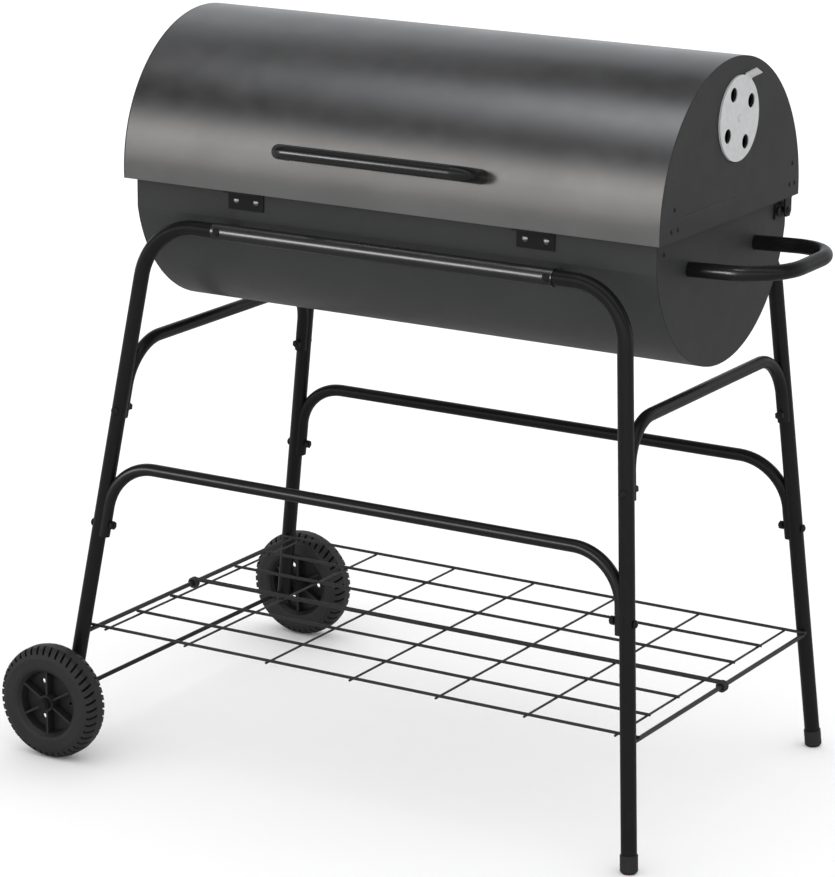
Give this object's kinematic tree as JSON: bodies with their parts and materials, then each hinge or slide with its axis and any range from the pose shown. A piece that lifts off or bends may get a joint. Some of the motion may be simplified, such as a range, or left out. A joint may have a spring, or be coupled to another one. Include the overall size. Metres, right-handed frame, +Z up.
{
  "type": "barrel charcoal grill",
  "caption": "Barrel-shaped charcoal grill: a hinged half-drum lid with a rotary air vent over a firebowl, on a bent-tube cart with two wheels and a wire shelf.",
  "frame": {"origin": "on the floor below the middle of the whole grill, between the wheels' outer edge and the side handle", "axes": "+X along the barrel from the wheels towards the side handle, -Y towards the cook and the lid handle, +Z up"},
  "size_m": [1.0149, 0.654, 0.963],
  "materials": {
    "frame_paint": "satin black baked paint on steel tube",
    "handle_paint": "gloss black paint",
    "hardware_black": "semi-gloss black coated hardware",
    "zinc": "bright zinc plate",
    "cap_plastic": "matte black moulded plastic",
    "wheel_plastic": "matte black blow-moulded plastic",
    "wire_enamel": "dark enamelled steel wire",
    "bowl_enamel": "satin charcoal high-heat paint",
    "lid_enamel": "satin graphite high-heat paint with a metallic sheen",
    "end_enamel": "matte charcoal high-heat paint",
    "grate_chrome": "bright plated steel rod",
    "vent_steel": "bare galvanised sheet steel"
  },
  "bodies": {
    "cart": {"leg_front_left": "frame_paint", "leg_front_right": "frame_paint", "leg_rear_left": "frame_paint", "leg_rear_right": "frame_paint", "rail_front": "frame_paint", "rail_rear": "frame_paint", "rail_screws": "hardware_black", "bowl_spacers": "frame_paint", "brace_front": "frame_paint", "brace_rear": "frame_paint", "side_brace_left": "frame_paint", "side_brace_right": "frame_paint", "brace_bolts": "hardware_black", "brace_nuts": "hardware_black", "foot_cap_front": "cap_plastic", "foot_cap_rear": "cap_plastic", "axle": "hardware_black", "axle_push_nuts": "hardware_black", "shelf_rack": "wire_enamel", "shelf_rod_left": "wire_enamel", "shelf_rod_right": "wire_enamel", "bowl_shell": "bowl_enamel", "bowl_end_left": "end_enamel", "bowl_end_right": "end_enamel", "bowl_end_rivets": "hardware_black", "side_handle": "frame_paint", "side_handle_nuts": "zinc", "lid_rest_brackets": "hardware_black", "bracket_screws": "zinc", "grate_ledge_front": "bowl_enamel", "grate_ledge_rear": "bowl_enamel", "hinge_plate_left": "hardware_black", "hinge_plate_right": "hardware_black", "hinge_plate_bolts": "hardware_black", "hinge_pin_left": "hardware_black", "hinge_pin_right": "hardware_black", "coal_crossbar_left": "bowl_enamel", "coal_crossbar_right": "bowl_enamel"},
    "lid": {"lid_shell": "lid_enamel", "lid_end_left": "end_enamel", "lid_end_right": "end_enamel", "lid_handle": "handle_paint", "lid_handle_nuts": "zinc", "hinge_ear_left": "hardware_black", "hinge_ear_right": "hardware_black", "lid_guide_left": "hardware_black", "lid_guide_right": "hardware_black", "lid_rivets": "hardware_black", "vent_rivet": "vent_steel"},
    "vent": {"vent_disc": "vent_steel"},
    "wheel_front": {"wheel_front": "wheel_plastic"},
    "wheel_rear": {"wheel_rear": "wheel_plastic"},
    "coal_grate": {"coal_grate": "wire_enamel"},
    "cooking_grate_left": {"cooking_grate_left": "grate_chrome"},
    "cooking_grate_right": {"cooking_grate_right": "grate_chrome"}
  },
  "joints": [
    {"name": "lid_hinge", "type": "hinge", "parent": "cart", "child": "lid", "pos_m": [0.0025, 0.165, 0.745], "axis": [-1, 0, 0], "range_deg": [0, 84]},
    {"name": "vent_turn", "type": "hinge", "parent": "lid", "child": "vent", "pos_m": [0.3904, 0.008, 0.8865], "axis": [1, 0, 0], "range_deg": [0, 45]},
    {"name": "wheel_front_spin", "type": "hinge", "parent": "cart", "child": "wheel_front", "pos_m": [-0.4315, -0.303, 0.076], "axis": [0, 1, 0], "continuous": true},
    {"name": "wheel_rear_spin", "type": "hinge", "parent": "cart", "child": "wheel_rear", "pos_m": [-0.4315, 0.303, 0.076], "axis": [0, 1, 0], "continuous": true},
    {"name": "cooking_grate_left_lift", "type": "slide", "parent": "cart", "child": "cooking_grate_left", "axis": [0, 0, 1], "range_m": [0, 0.09]},
    {"name": "cooking_grate_right_lift", "type": "slide", "parent": "cart", "child": "cooking_grate_right", "axis": [0, 0, 1], "range_m": [0, 0.09]},
    {"name": "coal_grate_lift", "type": "slide", "parent": "cart", "child": "coal_grate", "axis": [0, 0, 1], "range_m": [0, 0.085]}
  ]
}
